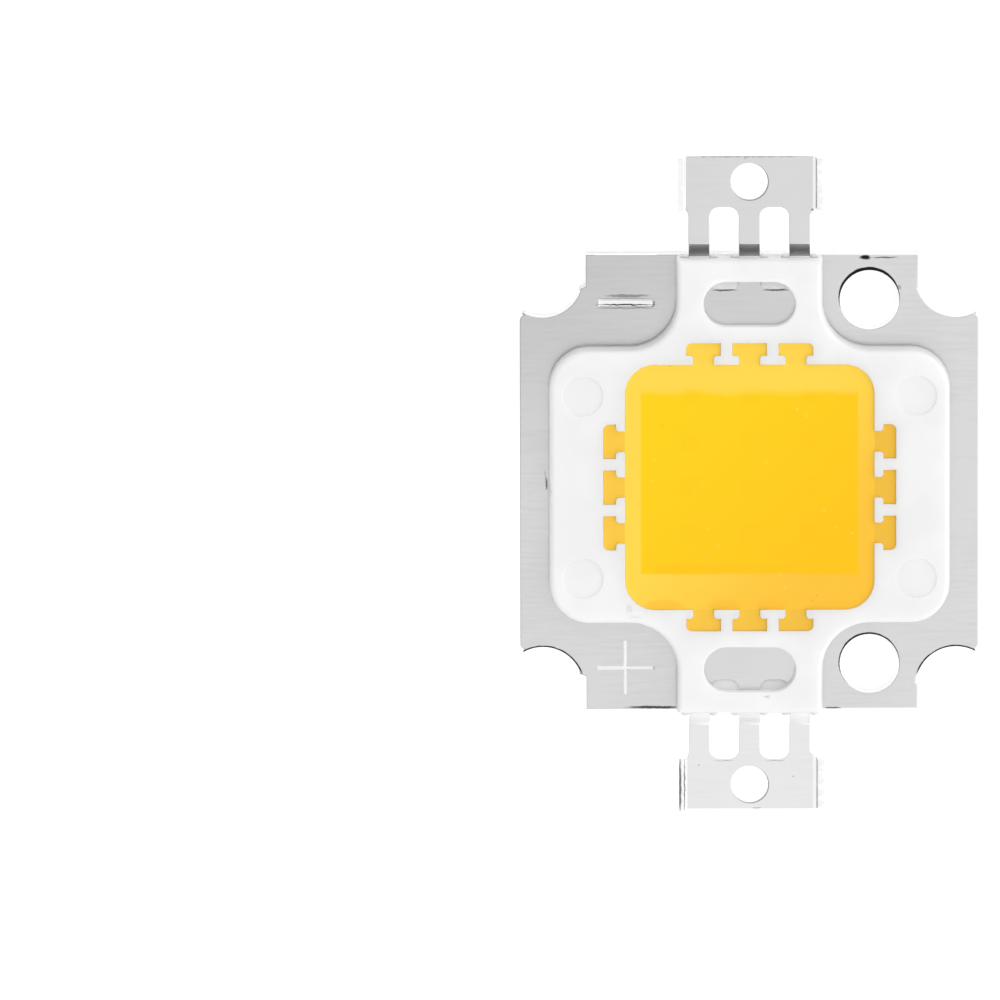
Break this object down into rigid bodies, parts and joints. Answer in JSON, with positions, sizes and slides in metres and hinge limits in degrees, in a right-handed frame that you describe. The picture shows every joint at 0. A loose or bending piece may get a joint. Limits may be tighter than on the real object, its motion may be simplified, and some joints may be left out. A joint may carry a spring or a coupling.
{
  "type": "cob led",
  "caption": "Square chip-on-board LED with a metal base plate, a white moulded frame, yellow phosphor gel and a three-legged solder tab at each end.",
  "frame": {"origin": "centre of the base plate's back face", "axes": "+Y along the two terminals, towards the minus terminal; +X towards the two screw holes; +Z out of the light-emitting face"},
  "size_m": [0.02, 0.0286, 0.0028],
  "materials": {
    "plated_copper": "satin silver plating on copper",
    "white_plastic": "fine moulded satin",
    "plated_lead": "satin silver plating on copper",
    "phosphor": "soft satin silicone",
    "silver_paste": "matte",
    "emitter": "polished crystal",
    "gold_wire": "bright gold"
  },
  "bodies": {
    "root": {"base_plate": "plated_copper", "frame": "white_plastic", "minus_terminal": "plated_lead", "plus_terminal": "plated_lead", "phosphor_gel": "phosphor", "die_bond_1_1": "silver_paste", "led_die_1_1": "emitter", "die_bond_1_2": "silver_paste", "led_die_1_2": "emitter", "die_bond_1_3": "silver_paste", "led_die_1_3": "emitter", "bond_wire_1_1": "gold_wire", "bond_wire_1_2": "gold_wire", "bond_wire_1_3": "gold_wire", "bond_wire_1_4": "gold_wire", "die_bond_2_1": "silver_paste", "led_die_2_1": "emitter", "die_bond_2_2": "silver_paste", "led_die_2_2": "emitter", "die_bond_2_3": "silver_paste", "led_die_2_3": "emitter", "bond_wire_2_1": "gold_wire", "bond_wire_2_2": "gold_wire", "bond_wire_2_3": "gold_wire", "bond_wire_2_4": "gold_wire", "die_bond_3_1": "silver_paste", "led_die_3_1": "emitter", "die_bond_3_2": "silver_paste", "led_die_3_2": "emitter", "die_bond_3_3": "silver_paste", "led_die_3_3": "emitter", "bond_wire_3_1": "gold_wire", "bond_wire_3_2": "gold_wire", "bond_wire_3_3": "gold_wire", "bond_wire_3_4": "gold_wire"}
  },
  "joints": []
}
